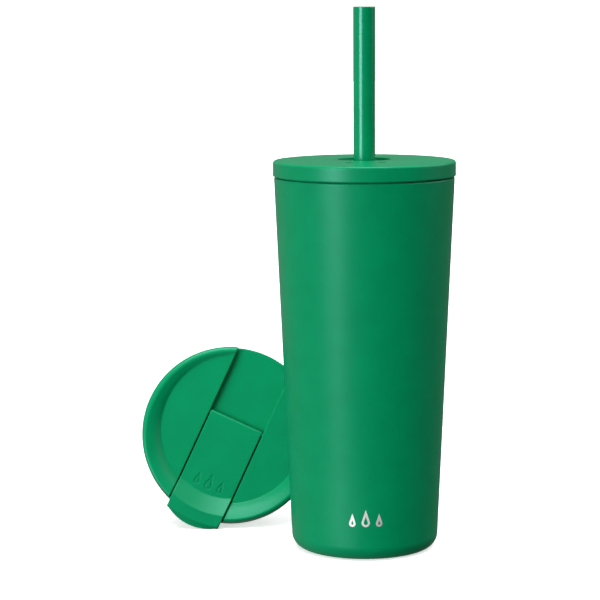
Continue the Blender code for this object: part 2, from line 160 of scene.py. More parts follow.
TAB_HALF = 14.4
TAB_RAISE = 0.3
HINGE_Y = 6.0
HINGE_R = 1.7
PIN_R = 0.65
PIN_HALF = 18.0
TAB_THICK = 3.4
STOPPER_TOP = -2.2
TAB_BEND_R = 33.5
TAB_UNDER_BEND_R = 33.0
TAB_UNDER_TOP_R = 42.0
TAB_UNDER_TOP_Z = -3.4
LIP_EDGE_R = 49.3
LIP_TIP_R = 52.3
LIP_BULGE = 2.6
LIP_SOFT_R = 46
TAB_ROUND_Y = 14
TAB_ROUND_OVER = 10
STOPPER_LENGTH = 3.2
FLIP_LEAN = math.radians(20)
FLIP_TURN = math.radians(-4)
FLIP_ROLL = math.radians(25.8)

# The boxes that hold the flip lid's netted pieces, and the nets' cells for its cover and its tab.
COVER_BOX = ((-46.6, -46.6, -13.6), (46.6, 46.6, 0.7))
INSERT_BOX = ((-40.2, -40.2, COVER_PLUG_Z - GAP - 12), (40.2, 40.2, COVER_PLUG_Z - GAP + 0.6))
TAB_BOX = ((-15, -53.4, -11.4), (15, 8.6, 1.8))
DRINK_STOPPER_BOX = ((-7.6, -29.6, -13.4), (7.6, -22.4, -6.6))
AIR_STOPPER_BOX = ((-2.6, -10.6, -12.4), (2.6, -5.4, -5.4))
FULL_STEPS = (0.4, 0.28)

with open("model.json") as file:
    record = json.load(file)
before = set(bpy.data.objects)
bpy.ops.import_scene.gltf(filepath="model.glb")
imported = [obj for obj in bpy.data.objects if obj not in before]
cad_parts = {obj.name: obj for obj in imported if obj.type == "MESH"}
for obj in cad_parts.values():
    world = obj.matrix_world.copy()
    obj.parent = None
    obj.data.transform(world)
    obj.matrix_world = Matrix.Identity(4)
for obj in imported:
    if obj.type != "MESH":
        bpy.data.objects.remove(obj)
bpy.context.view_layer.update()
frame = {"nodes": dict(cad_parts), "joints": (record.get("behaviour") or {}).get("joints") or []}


# ---- outlines ----


def filleted(points):
    """A closed outline with its corners rounded; a point's third number is its fillet's radius."""
    rounded = []
    count = len(points)
    for i, point in enumerate(points):
        here = Vector(point[:2])
        radius = point[2] if len(point) > 2 else 0
        if not radius:
            rounded.append((here.x, here.y))
            continue
        to_last = (Vector(points[i - 1][:2]) - here).normalized()
        to_next = (Vector(points[(i + 1) % count][:2]) - here).normalized()
        half = to_last.angle(to_next) / 2
        centre = here + (to_last + to_next).normalized() * radius / math.sin(half)
        start = here + to_last * radius / math.tan(half) - centre
        end = here + to_next * radius / math.tan(half) - centre
        first = math.atan2(start.y, start.x)
        sweep = math.remainder(math.atan2(end.y, end.x) - first, 2 * math.pi)
        steps = max(2, math.ceil(abs(sweep) / ARC_STEP))
        for k in range(steps + 1):
            angle = first + sweep * k / steps
            rounded.append((centre.x + radius * math.cos(angle), centre.y + radius * math.sin(angle)))
    return rounded


def supported(outline, closed):
    """Adds points close to both ends of an outline's long edges, so that its curves shade cleanly."""
    result = []
    last = len(outline) if closed else len(outline) - 1
    for i, point in enumerate(outline):
        result.append(point)
        if i == last:
            break
        here, there = Vector(point), Vector(outline[(i + 1) % len(outline)])
        length = (there - here).length
        if length > 5 * SUPPORT:
            step = (there - here) * SUPPORT / length
            result += [tuple(here + step), tuple(there - step)]
    return result


def drop_outline(radius, height, scale=1.0, count=28):
    """A water drop about its round end's centre, with its tip up."""
    tip = height - radius
    opening = math.acos(radius / tip)
    points = [(0, tip * scale)]
    for i in range(count + 1):
        angle = math.pi / 2 + opening + (2 * math.pi - 2 * opening) * i / count
        points.append((radius * scale * math.cos(angle), radius * scale * math.sin(angle)))
    return points


class Outline:
    """Signed distance to a closed outline, negative inside it.

    Large arrays are looked up in a table of it, small ones are worked out exactly.
    """

    TABLE_STEP = 0.1
    MARGIN = 3.0
    EXACT_COUNT = 20000

    def __init__(self, points):
        self.points = np.array(points, float)
        self.low = self.points.min(0) - self.MARGIN
        size = self.points.max(0) + self.MARGIN - self.low
        self.shape = np.ceil(size / self.TABLE_STEP).astype(int) + 1
        u = self.low[0] + self.TABLE_STEP * np.arange(self.shape[0])
        v = self.low[1] + self.TABLE_STEP * np.arange(self.shape[1])
        self.table = self.exact(*np.meshgrid(u, v, indexing="ij"))

    def exact(self, u, v):
        nearest = np.full(u.shape, np.inf)
        inside = np.zeros(u.shape, bool)
        for start, end in zip(self.points, np.roll(self.points, -1, 0)):
            edge = end - start
            du, dv = u - start[0], v - start[1]
            share = np.clip((du * edge[0] + dv * edge[1]) / (edge @ edge), 0, 1)
            nearest = np.minimum(nearest, (du - share * edge[0]) ** 2 + (dv - share * edge[1]) ** 2)
            if edge[1]:
                spans = (v >= start[1]) != (v >= end[1])
                inside ^= spans & (du < dv * edge[0] / edge[1])
        return np.where(inside, -1, 1) * np.sqrt(nearest)

    def __call__(self, u, v):
        if u.size <= self.EXACT_COUNT:
            return self.exact(u, v)
        top = self.shape - 1.001
        a = np.clip((u - self.low[0]) / self.TABLE_STEP, 0, top[0])
        b = np.clip((v - self.low[1]) / self.TABLE_STEP, 0, top[1])
        i, j = a.astype(int), b.astype(int)
        a, b = a - i, b - j
        lower = self.table[i, j] * (1 - b) + self.table[i, j + 1] * b
        upper = self.table[i + 1, j] * (1 - b) + self.table[i + 1, j + 1] * b
        return lower * (1 - a) + upper * a


# ---- meshes ----


def add_piece(name, verts, faces, place=None, sharp=SHARP_ANGLE):
    """Makes an object from millimetre points; place is its frame in the scene."""
    mesh = bpy.data.meshes.new(name)
    mesh.from_pydata([tuple(MM * c for c in v) for v in verts], [], faces)
    if place is not None:
        mesh.transform(place)
    mesh.shade_smooth()
    mesh.set_sharp_from_angle(angle=sharp)
    mesh.update()
    piece = bpy.data.objects.new(name, mesh)
    bpy.context.scene.collection.objects.link(piece)
    return piece


def turned(name, outline, place=None, steps=ROUND_STEPS):
    """A body turned about Z from an outline of (radius, height) points, open where it meets the axis."""
    open_ends = outline[0][0] == 0 and outline[-1][0] == 0
    points = supported(outline, not open_ends)
    area = sum(a[0] * b[1] - b[0] * a[1] for a, b in zip(points, points[1:] + points[:1]))
    if area < 0:
        points.reverse()
    verts, rings = [], []
    for radius, height in points:
        count = 1 if radius < 1e-6 else steps
        rings.append([len(verts) + i for i in range(count)])
        for i in range(count):
            angle = 2 * math.pi * i / steps
            verts.append((radius * math.cos(angle), radius * math.sin(angle), height))
    faces = []
    pairs = list(zip(rings, rings[1:]))
    if not open_ends:
        pairs.append((rings[-1], rings[0]))
    for lower, upper in pairs:
        for i in range(steps):
            j = (i + 1) % steps
            below = [lower[i % len(lower)], lower[j % len(lower)]]
            above = [upper[j % len(upper)], upper[i % len(upper)]]
            faces.append(list(dict.fromkeys(below + above)))
    faces = [face for face in faces if len(face) > 2]
    return add_piece(name, verts, faces, place)


def stadium(half_x, half_y, centre, count=8):
    """A slot's outline with round ends, about its centre."""
    points = []
    for side in (1, -1):
        for i in range(count + 1):
            angle = math.pi * (i / count - 0.5) + (0 if side == 1 else math.pi)
            x = centre[0] + side * (half_x - half_y) + half_y * math.cos(angle)
            points.append((x, centre[1] + half_y * math.sin(angle)))
    return points


def prism(name, outline, low, high):
    """An upright prism between two heights."""
    count = len(outline)
    verts = [(x, y, z) for z in (low, high) for x, y in outline]
    faces = [[i, (i + 1) % count, count + (i + 1) % count, count + i] for i in range(count)]
    faces += [list(range(count))[::-1], list(range(count, 2 * count))]
    return add_piece(name, verts, faces)


def carve(piece, cutters):
    """Takes the cutters out of a piece for good, and marks its sharp edges again."""
    for cutter in cutters:
        modifier = piece.modifiers.new("cut", "BOOLEAN")
        modifier.operation = "DIFFERENCE"
        modifier.solver = "EXACT"
        modifier.object = cutter
    bpy.context.view_layer.update()
    shaped = bpy.data.meshes.new_from_object(piece.evaluated_get(bpy.context.evaluated_depsgraph_get()))
    piece.modifiers.clear()
    piece.data = shaped
    shaped.shade_smooth()
    shaped.set_sharp_from_angle(angle=SHARP_ANGLE)
    for cutter in cutters:
        bpy.data.objects.remove(cutter)
    return piece


# ---- signed distances and their surfaces ----


def meet(a, b, radius):
    """What is in both a and b, with the edge between them rounded."""
    beyond = np.hypot(np.maximum(a + radius, 0), np.maximum(b + radius, 0))
    return beyond + np.minimum(np.maximum(a, b) + radius, 0) - radius


def join(a, b, radius):
    """What is in a or b, with a fillet in the corner between them."""
    return -meet(-a, -b, radius)


def slope_of(distance, points, reach):
    """The gradient of a distance at points, one row each."""
    slope = np.zeros_like(points)
    for axis in range(3):
        step = np.zeros(3)
        step[axis] = reach
        slope[:, axis] = (distance(*(points + step).T) - distance(*(points - step).T)) / (2 * reach)
    return slope


def surface_net(distance, low, high, step):
    """Points and quads of a distance's zero surface, one point for each cell that it passes through."""
    axes = [np.arange(a, b + step, step) for a, b in zip(low, high)]
    x, y = np.meshgrid(axes[0], axes[1], indexing="ij")
    field = np.stack([distance(x, y, np.full_like(x, z)) for z in axes[2]], axis=-1)
    inside = field < 0
    cells = np.array(field.shape) - 1
    owners, crossings, quads, ways = [], [], [], []
    for axis in range(3):
        near = tuple(slice(0, -1) if k == axis else slice(None) for k in range(3))
        far = tuple(slice(1, None) if k == axis else slice(None) for k in range(3))
        changes = inside[near] != inside[far]
        index = np.argwhere(changes)
        start, end = field[near][changes], field[far][changes]
        point = index.astype(float)
        point[:, axis] += start / (start - end)
        side, other = (axis + 1) % 3, (axis + 2) % 3
        around = []
        for back in ((1, 1), (0, 1), (0, 0), (1, 0)):
            cell = index.copy()
            cell[:, side] -= back[0]
            cell[:, other] -= back[1]
            around.append(np.ravel_multi_index(np.clip(cell, 0, cells - 1).T, cells))
            owners.append(around[-1])
            crossings.append(point)
        quads.append(np.stack(around, 1))
        ways.append(start < 0)
    owners, crossings = np.concatenate(owners), np.concatenate(crossings)
    used, place = np.unique(owners, return_inverse=True)
    share = np.bincount(place)
    points = np.stack([np.bincount(place, crossings[:, k]) / share for k in range(3)], 1)
    quads, ways = np.searchsorted(used, np.concatenate(quads)), np.concatenate(ways)
    quads[~ways] = quads[~ways][:, ::-1]
    points = np.array(low) + points * step
    for _ in range(4):
        slope = slope_of(distance, points, step / 8)
        square = np.maximum((slope**2).sum(1), 0.2)
        move = np.clip(distance(*points.T) / square, -step / 2, step / 2)
        points = points - slope * move[:, None]
    return points, quads


def netted(name, distance, low, high, step, place):
    """A body from its signed distance, with its normals from the distance itself."""
    points, quads = surface_net(distance, low, high, step)
    normals = slope_of(distance, points, step / 5)
    normals /= np.maximum(np.linalg.norm(normals, axis=1), 1e-6)[:, None]
    mesh = bpy.data.meshes.new(name)
    mesh.vertices.add(len(points))
    mesh.vertices.foreach_set("co", (points * MM).ravel())
    mesh.loops.add(quads.size)
    mesh.loops.foreach_set("vertex_index", quads.ravel())
    mesh.polygons.add(len(quads))
    mesh.polygons.foreach_set("loop_start", np.arange(0, quads.size, 4))
    mesh.update(calc_edges=True)
    mesh.shade_smooth()
    mesh.transform(place)
    turn = np.array(place.to_3x3())
    mesh.normals_split_custom_set_from_vertices(normals @ turn.T)
    piece = bpy.data.objects.new(name, mesh)
    bpy.context.scene.collection.objects.link(piece)
    return piece


# ---- materials ----


class Shader:
    """A Principled material and short ways to link nodes into it."""

    def __init__(self, name, colour, roughness, metallic=0.0):
        self.material = bpy.data.materials.new(name)
        self.material.use_nodes = True
        self.material.diffuse_color = (*colour, 1.0)
        self.tree = self.material.node_tree
        self.shader = self.tree.nodes["Principled BSDF"]
        self.set("Base Color", (*colour, 1.0))
        self.set("Roughness", roughness)
        self.set("Metallic", metallic)
        self.coords = self.node("ShaderNodeTexCoord").outputs["Object"]

    def set(self, socket, value):
        self.shader.inputs[socket].default_value = value

    def node(self, kind, **values):
        node = self.tree.nodes.new(kind)
        for key, value in values.items():
            if key in node.inputs:
                node.inputs[key].default_value = value
            else:
                setattr(node, key, value)
        return node

    def link(self, source, target):
        self.tree.links.new(source, target)

    def noise(self, scale, detail=2.0, vector=None):
        """Noise whose scale is in features per metre."""
        node = self.node("ShaderNodeTexNoise", Scale=scale, Detail=detail)
        self.link(vector or self.coords, node.inputs["Vector"])
        return node.outputs["Fac"]

    def ranged(self, source, low, high):
        """Maps a noise's usual spread to low..high."""
        node = self.node("ShaderNodeMapRange")
        node.inputs["From Min"].default_value = 0.3
        node.inputs["From Max"].default_value = 0.7
        node.inputs["To Min"].default_value = low
        node.inputs["To Max"].default_value = high
        self.link(source, node.inputs["Value"])
        return node.outputs["Result"]

    def vary_roughness(self, source, low, high):
        self.link(self.ranged(source, low, high), self.shader.inputs["Roughness"])

    def vary_colour(self, source, low, high):
        node = self.node("ShaderNodeMix", data_type="RGBA")
        self.link(self.ranged(source, 0.0, 1.0), node.inputs["Factor"])
        node.inputs[6].default_value = (*low, 1.0)
        node.inputs[7].default_value = (*high, 1.0)
        self.link(node.outputs[2], self.shader.inputs["Base Color"])

    def bump(self, source, depth, normal=None):
        """Relief whose depth is in metres; returns its normal for a further one."""
        node = self.node("ShaderNodeBump", Strength=1.0, Distance=depth)
        self.link(source, node.inputs["Height"])
        if normal:
            self.link(normal, node.inputs["Normal"])
        self.link(node.outputs["Normal"], self.shader.inputs["Normal"])
        return node.outputs["Normal"]

    def turned_coords(self, along, around):
        """Coordinates about Z whose features are drawn out round the axis."""
        parts = self.node("ShaderNodeSeparateXYZ")
        self.link(self.coords, parts.inputs["Vector"])
        radius = self.node("ShaderNodeVectorMath", operation="LENGTH")
        flat = self.node("ShaderNodeVectorMath", operation="MULTIPLY")
        flat.inputs[1].default_value = (1, 1, 0)
        self.link(self.coords, flat.inputs[0])
        self.link(flat.outputs["Vector"], radius.inputs[0])
        angle = self.node("ShaderNodeMath", operation="ARCTAN2")
        self.link(parts.outputs["Y"], angle.inputs[0])
        self.link(parts.outputs["X"], angle.inputs[1])
        joined = self.node("ShaderNodeCombineXYZ")
        for source, target, scale in (
            (radius.outputs["Value"], "X", along),
            (angle.outputs["Value"], "Y", around),
            (parts.outputs["Z"], "Z", along),
        ):
            scaled = self.node("ShaderNodeMath", operation="MULTIPLY")
            scaled.inputs[1].default_value = scale
            self.link(source, scaled.inputs[0])
            self.link(scaled.outputs["Value"], joined.inputs[target])
        return joined.outputs["Vector"]


GREEN_LOW = (0.0, 0.235, 0.09)
GREEN_HIGH = (0.0, 0.257, 0.1)
GLOSS_TINT = (0.45, 1.0, 1.0, 1.0)


def make_powder_coat():
    """Satin powder coat: even green with the fine, soft pebble that cured powder leaves."""
    shader = Shader("powder_coat", GREEN_HIGH, 0.34)
    shader.set("Specular Tint", GLOSS_TINT)
    shader.set("Specular IOR Level", 0.27)
    shader.vary_colour(shader.noise(90, 3), GREEN_LOW, GREEN_HIGH)
    shader.vary_roughness(shader.noise(700, 3), 0.31, 0.37)
    fine = shader.bump(shader.noise(2600, 2), 0.00001)
    shader.bump(shader.noise(650, 1), 0.000012, fine)
    return shader.material


def make_lid_plastic():
    """Moulded plastic with a fine spark-eroded texture."""
    shader = Shader("lid_plastic", GREEN_HIGH, 0.34)
    shader.set("Specular Tint", GLOSS_TINT)
    shader.set("Specular IOR Level", 0.3)
    shader.vary_colour(shader.noise(60, 2), GREEN_LOW, GREEN_HIGH)
    shader.vary_roughness(shader.noise(900, 3), 0.3, 0.38)
    shader.bump(shader.noise(4200, 2), 0.000006)
    return shader.material


def make_straw_plastic():
    """Extruded plastic, smoother than the lids, with faint lines along the tube."""
    shader = Shader("straw_plastic", GREEN_HIGH, 0.2)
    shader.set("Specular Tint", GLOSS_TINT)
    shader.vary_colour(shader.noise(80, 2), GREEN_LOW, GREEN_HIGH)
    lines = shader.node("ShaderNodeMapping")
    lines.inputs["Scale"].default_value = (1, 1, 0.02)
    shader.link(shader.coords, lines.inputs["Vector"])
    streaks = shader.noise(1500, 2, lines.outputs["Vector"])
    shader.vary_roughness(streaks, 0.18, 0.22)
    shader.bump(streaks, 0.000001)
    return shader.material


def make_green_silicone():
    shader = Shader("green_silicone", GREEN_LOW, 0.5)
    shader.set("Specular Tint", GLOSS_TINT)
    shader.vary_colour(shader.noise(150, 2), (0.0, 0.2, 0.08), GREEN_LOW)
    shader.vary_roughness(shader.noise(1100, 3), 0.46, 0.56)
    shader.bump(shader.noise(3000, 2), 0.000008)
    return shader.material


def make_silicone():
    """Milky silicone, with a little light passing under its surface."""
    shader = Shader("silicone", (0.62, 0.64, 0.63), 0.5)
    shader.set("Subsurface Weight", 0.25)
    shader.set("Subsurface Radius", (1.0, 1.0, 1.0))
    shader.set("Subsurface Scale", 0.001)
    shader.vary_colour(shader.noise(200, 2), (0.58, 0.6, 0.59), (0.68, 0.7, 0.69))
    shader.vary_roughness(shader.noise(1200, 3), 0.44, 0.56)
    shader.bump(shader.noise(3200, 2), 0.000008)
    return shader.material


def make_steel():
    """Stainless steel with the fine circular lines that spinning and polishing leave."""
    shader = Shader("stainless_steel", (0.78, 0.77, 0.75), 0.32, 1.0)
    lines = shader.noise(2800, 2, shader.turned_coords(1.0, 0.0006))
    shader.vary_colour(shader.noise(40, 3), (0.75, 0.745, 0.73), (0.81, 0.8, 0.785))
    shader.vary_roughness(lines, 0.28, 0.36)
    shader.bump(lines, 0.000001)
    return shader.material


def make_engraved_steel():
    """Steel bared by a laser, which leaves it pale and matt."""
    shader = Shader("engraved_steel", (0.82, 0.82, 0.81), 0.5, 0.6)
    shader.vary_colour(shader.noise(1500, 2), (0.76, 0.76, 0.75), (0.88, 0.88, 0.87))
    shader.vary_roughness(shader.noise(2600, 2), 0.42, 0.6)
    shader.bump(shader.noise(3500, 2), 0.000006)
    return shader.material


def make_getter_metal():
    shader = Shader("getter_metal", (0.3, 0.29, 0.28), 0.55, 1.0)
    shader.vary_colour(shader.noise(900, 4), (0.22, 0.21, 0.2), (0.4, 0.39, 0.37))
    shader.vary_roughness(shader.noise(2000, 3), 0.45, 0.7)
    shader.bump(shader.noise(2400, 4), 0.00003)
    return shader.material


def make_seal_glass():
    shader = Shader("seal_glass", (0.3, 0.34, 0.33), 0.16)
    shader.vary_colour(shader.noise(700, 3), (0.24, 0.28, 0.27), (0.38, 0.42, 0.41))
    shader.vary_roughness(shader.noise(1400, 2), 0.1, 0.24)
    shader.bump(shader.noise(600, 2), 0.00004)
    return shader.material


def make_floor_material():
    """A white table, lit from within; from below it is clear, so that the bases can be seen."""
    shader = Shader("studio_floor", (0.9, 0.9, 0.9), 0.8)
    shader.set("Specular IOR Level", 0.1)
    shader.set("Emission Color", (1, 1, 1, 1))
    shader.set("Emission Strength", 0.6)
    shader.vary_roughness(shader.noise(20, 2), 0.78, 0.82)
    facing = shader.node("ShaderNodeNewGeometry")
    clear = shader.node("ShaderNodeBsdfTransparent")
    one_sided = shader.node("ShaderNodeMixShader")
    shader.link(facing.outputs["Backfacing"], one_sided.inputs["Fac"])
    shader.link(shader.shader.outputs["BSDF"], one_sided.inputs[1])
    shader.link(clear.outputs["BSDF"], one_sided.inputs[2])
    shader.link(one_sided.outputs["Shader"], shader.tree.nodes["Material Output"].inputs["Surface"])
    return shader.material


# ---- tumbler ----


def cone_r(height):
    """The tumbler's outer radius at a height."""
    return BASE_R + (SHOULDER_R - BASE_R) * height / SHOULDER_Z


def make_shell():
    """The coated outer wall, with the rounded base corner, the foot ring and the neck."""
    inner = lambda z: cone_r(z) - WALL
    outline = filleted([
        (FOOT_R, 0.0, 0.3),
        (cone_r(0), 0.0, BASE_CORNER_R),
        (SHOULDER_R, SHOULDER_Z, 0.8),
        (NECK_R, SHOULDER_Z, 0.3),
        (NECK_R, NECK_TOP_Z),
        (NECK_R - WALL, NECK_TOP_Z),
        (NECK_R - WALL, SHOULDER_Z - WALL, 0.3),
        (inner(SHOULDER_Z) - 0.1, SHOULDER_Z - WALL, 0.6),
        (inner(0), WALL, BASE_CORNER_R - WALL),
        (FOOT_R + WALL, WALL, 0.3),
        (FOOT_R + WALL, FLANGE_TOP_Z),
        (FOOT_R, FLANGE_TOP_Z),
    ])
    return turned("powder_coated_shell", outline)


def make_liner():
    """The steel cup inside, up to its rolled drinking lip."""
    inner = lambda z: cone_r(z) - LINER_INSET - WALL
    straight_z = SHOULDER_Z - LINER_STRAIGHT
    centre = (LINER_MOUTH_R + LIP_ROUND, LIP_Z + 0.1)
    lip = [(LINER_MOUTH_R, straight_z, LINER_BEND_R)]
    for i in range(LIP_STEPS + 1):
        angle = math.pi * (1 - i / LIP_STEPS)
        lip.append((centre[0] + LIP_ROUND * math.cos(angle), centre[1] + LIP_ROUND * math.sin(angle)))
    outline = [(0, LINER_FLOOR_Z), (inner(LINER_FLOOR_Z), LINER_FLOOR_Z, LINER_CORNER_R)]
    outline += lip
    outline += [(LINER_MOUTH_R + WALL, LIP_Z), (LINER_MOUTH_R + WALL, straight_z, LINER_BEND_R)]
    outline += [
        (inner(LINER_FLOOR_Z) + WALL, LINER_FLOOR_Z - WALL, LINER_CORNER_R + WALL),
        (0, LINER_FLOOR_Z - WALL),
    ]
    return turned("steel_liner", filleted(outline))


def make_foot_disc():
    """The disc that closes the base, with a pressed ring and a shallow dish in its middle."""
    outline = filleted([
        (0, 0.35),
        (9.0, 0.35, 0.8),
        (10.2, 0.0, 0.8),
        (19.6, 0.0, 0.3),
        (20.2, 0.3, 0.3),
        (21.4, 0.3, 0.3),
        (22.0, 0.0, 0.3),
        (DISC_R, 0.0, 0.4),
        (DISC_R, DISC_TOP_Z, 0.2),
        (0, DISC_TOP_Z),
    ])
    return turned("foot_disc", outline)


def make_drops():
    """Three outlined drops, bared by a laser through the coat, low on the tumbler's front."""
    middle_x, middle_z = EMBLEM_AT
    verts, faces = [], []
    base_z = middle_z - EMBLEM_HEIGHT / 2
    for offset, radius, tall in three_drops(EMBLEM_HEIGHT):
        loops = []
        hollow = 1 - EMBLEM_STROKE / radius
        for scale, level in (
            (1.0, -EMBLEM_SUNK),
            (1.0, EMBLEM_PROUD),
            (hollow, EMBLEM_PROUD),
            (hollow, -EMBLEM_SUNK),
        ):
            loop = []
            for u, v in drop_outline(radius, tall, scale, 40):
                z = base_z + radius + v
                r = cone_r(z) + level
                angle = (middle_x + offset + u) / cone_r(z)
                loop.append(len(verts))
                verts.append((r * math.sin(angle), -r * math.cos(angle), z))
            loops.append(loop)
        for first, second in zip(loops, loops[1:] + loops[:1]):
            for i in range(len(first)):
                j = (i + 1) % len(first)
                faces.append([first[i], first[j], second[j], second[i]])
    piece = add_piece("drops_emblem", verts, faces, sharp=math.radians(50))
    solid = bmesh.new()
    solid.from_mesh(piece.data)
    bmesh.ops.recalc_face_normals(solid, faces=solid.faces)
    solid.to_mesh(piece.data)
    solid.free()
    return piece


# ---- lids' turned parts ----


def make_straw_lid_top():
    """The flat lid: a slight crown, the recess about the straw and two vent slots."""
    crown = lambda radius: LID_TOP_Z + LID_CROWN * (1 - (radius / LID_R) ** 2)
    recess = [
        (STRAW_HOLE_R, RECESS_FLOOR_Z, 0.3),
        (RECESS_R, RECESS_FLOOR_Z, 0.5),
        (RECESS_R, crown(RECESS_R), 0.3),
    ]
    top = [(r, crown(r)) for r in range(16, 43, 3)]
    outline = filleted(recess + top + [
        (LID_R, LID_TOP_Z, LID_EDGE_ROUND),
        (LID_R, LID_BOTTOM_Z, 0.5),
        (SKIRT_INNER_R, LID_BOTTOM_Z, 0.3),
        (SKIRT_INNER_R, LID_UNDERSIDE_Z, 0.4),
        (BOSS_R, LID_UNDERSIDE_Z, 0.4),
        (BOSS_R, BOSS_Z, 0.3),
        (STRAW_HOLE_R, BOSS_Z),
    ])
    lid = turned("straw_lid_top", outline)
    slots = []
    for side in (-1, 1):
        centre = (side * VENT_SLOT_AT[0], VENT_SLOT_AT[1])
        outline = stadium(*VENT_SLOT, centre)
        slots.append(prism("slot", outline, LID_TOP_Z - VENT_SLOT_DEPTH, LID_TOP_Z + 3))
    return carve(lid, slots)


def plug_outline(top_z, hole_r):
    """The half section of a lid's plug; hole_r of 0 leaves its floor whole."""
    floor_z = top_z - PLUG_FLOOR_DROP
    foot_z = top_z - PLUG_FOOT_DROP
    hole_round = 0.3 if hole_r else 0
    return filleted([
        (hole_r, floor_z, hole_round),
        (PLUG_INNER_R, floor_z, 0.6),
        (PLUG_INNER_R, top_z, 0.2),
        (PLUG_R, top_z, 0.3),
        (PLUG_R, top_z - GROOVE_TOP_DROP, 0.25),
        (GROOVE_R, top_z - GROOVE_TOP_DROP, 0.2),
        (GROOVE_R, top_z - GROOVE_FOOT_DROP, 0.2),
        (PLUG_R - 0.4, top_z - GROOVE_FOOT_DROP, 0.3),
        (PLUG_R - 0.4, foot_z, 1.2),
        (31.6, foot_z, 0.3),
        (31.2, foot_z + 0.4, 0.3),
        (30.0, foot_z + 0.4, 0.3),
        (29.6, foot_z, 0.3),
        (hole_r, foot_z, hole_round),
    ])


def make_ring(name, plug_top_z, place):
    """A silicone ring with two soft fins, in the plug's groove."""
    base_r = GROOVE_R + GAP
    fin_r = LINER_MOUTH_R - GAP
    top = plug_top_z - GROOVE_TOP_DROP - GAP
    outline = filleted([
        (base_r, top, 0.2),
        (base_r + RING_CORE, top, 0.2),
        (fin_r, top - 0.7, 0.19),
        (fin_r, top - 1.1, 0.19),
        (base_r + 1.0, top - 1.5, 0.2),
        (base_r + 1.0, top - 2.3, 0.2),
        (fin_r, top - 2.7, 0.19),
        (fin_r, top - 3.1, 0.19),
        (base_r + RING_CORE, top - 3.8, 0.2),
        (base_r, top - 3.8, 0.2),
    ])
    return turned(name, outline, place)


def make_sleeve():
    """The silicone sleeve about the straw, flanged under the boss."""
    sleeve_r = STRAW_R + GAP
    outer_r = STRAW_HOLE_R - GAP
    flange_r = STRAW_HOLE_R + 1.8
    outline = filleted([
        (sleeve_r, RECESS_FLOOR_Z + 0.3, 0.5),
        (outer_r, RECESS_FLOOR_Z + 0.3, 0.5),
        (outer_r, BOSS_Z - GAP, 0.2),
        (flange_r, BOSS_Z - GAP, 0.4),
        (flange_r, BOSS_Z - 1.8, 0.4),
        (sleeve_r, BOSS_Z - 1.8, 0.4),
    ])
    return turned("straw_sleeve", outline, steps=72)


def make_drinking_straw():
    edge = (STRAW_R - STRAW_BORE_R) / 2 - 0.02
    outline = filleted([
        (STRAW_R, STRAW_BOTTOM_Z, edge),
        (STRAW_R, STRAW_TOP_Z, edge),
        (STRAW_BORE_R, STRAW_TOP_Z, edge),
        (STRAW_BORE_R, STRAW_BOTTOM_Z, edge),
    ])
    return turned("drinking_straw", outline, steps=72)


# ---- flip lid ----


def panel_z(y):
    """The height of the lid's two flat panels, which slope down towards the drinking side."""
    return PANEL_MID_Z + PANEL_SLOPE * y


def tab_z(y):
    """The height of the tab's flat top, which stands a little proud of the panels."""
    return panel_z(y) + TAB_RAISE


HINGE_Z = tab_z(HINGE_Y) - HINGE_R
SKIRT = Outline(filleted([
    (0, 3.0),
    (RIM_R, 3.0),
    (RIM_R, RIM_BEAD_Z, 0.3),
    (FLIP_SKIRT_R, RIM_BEAD_Z - 0.8, 0.3),
    (FLIP_SKIRT_R, FLIP_BOTTOM_Z, 0.5),
    (SKIRT_INNER_R, FLIP_BOTTOM_Z, 0.4),
    (SKIRT_INNER_R, FLIP_SEAT_Z, 0.3),
    (COVER_PLUG_R, FLIP_SEAT_Z, 0.3),
    (COVER_PLUG_R, COVER_PLUG_Z, 0.3),
    (0, COVER_PLUG_Z),
]))
DRINK_SLOT = Outline(stadium(*DRINK_HOLE_HALF, (0, DRINK_HOLE_Y)))


def rim_round(y, r):
    """The radius of the rim's crest, which gets thinner towards the drinking side."""
    return RIM_ROUND - RIM_THIN * np.maximum(-y / np.maximum(r, 1e-6), 0)


def panel_edge_r(x, y, r):
    """How far the panels' oval edge is from the lid's axis, in a point's direction."""
    far = np.maximum(r, 1e-6)
    across = x / far / PANEL_HALF_X
    along = y / far / PANEL_HALF_Y
    centre = PANEL_CENTRE_Y / PANEL_HALF_Y
    square = across**2 + along**2
    return (along * centre + np.sqrt((along * centre) ** 2 + square * (1 - centre**2))) / square


def rim_distance(x, y, z, r):
    """The rim with its rounded crest and the full, rounded wall down to the panels' edge."""
    edge_r = np.where(r > 0.01, panel_edge_r(x, y, r), PANEL_HALF_X)
    edge_z = panel_z(edge_r * y / np.maximum(r, 1e-6))
    bead = rim_round(y, r)
    centre_r, centre_z = RIM_R - bead, -bead
    across, up = centre_r - edge_r, centre_z - edge_z
    reach = np.hypot(across, up)
    steep = np.arctan2(up, across) + np.arcsin(np.minimum(bead / reach, 0.97))
    steep = np.minimum(steep, RIM_STEEPEST)
    sine, cosine = np.sin(steep), np.cos(steep)
    length = np.sqrt(np.maximum(reach**2 - bead**2, 1.0))
    share = np.clip(((r - edge_r) * cosine + (z - edge_z) * sine) / length, 0, 1)
    hump = 4 * RIM_HUMP * np.maximum(length - RIM_FLAT_LENGTH, 0) * share * (1 - share)
    wall = (z - edge_z) * cosine - (r - edge_r) * sine - hump
    from_r, from_z = r - centre_r, z - centre_z
    tangent = from_z * cosine - from_r * sine - bead - hump
    crest = (from_r * cosine + from_z * sine > 0) & (from_z > 0)
    rounded = np.where(crest, np.hypot(from_r, from_z) - bead, np.maximum(tangent, r - RIM_R))
    return np.maximum(rounded, wall)


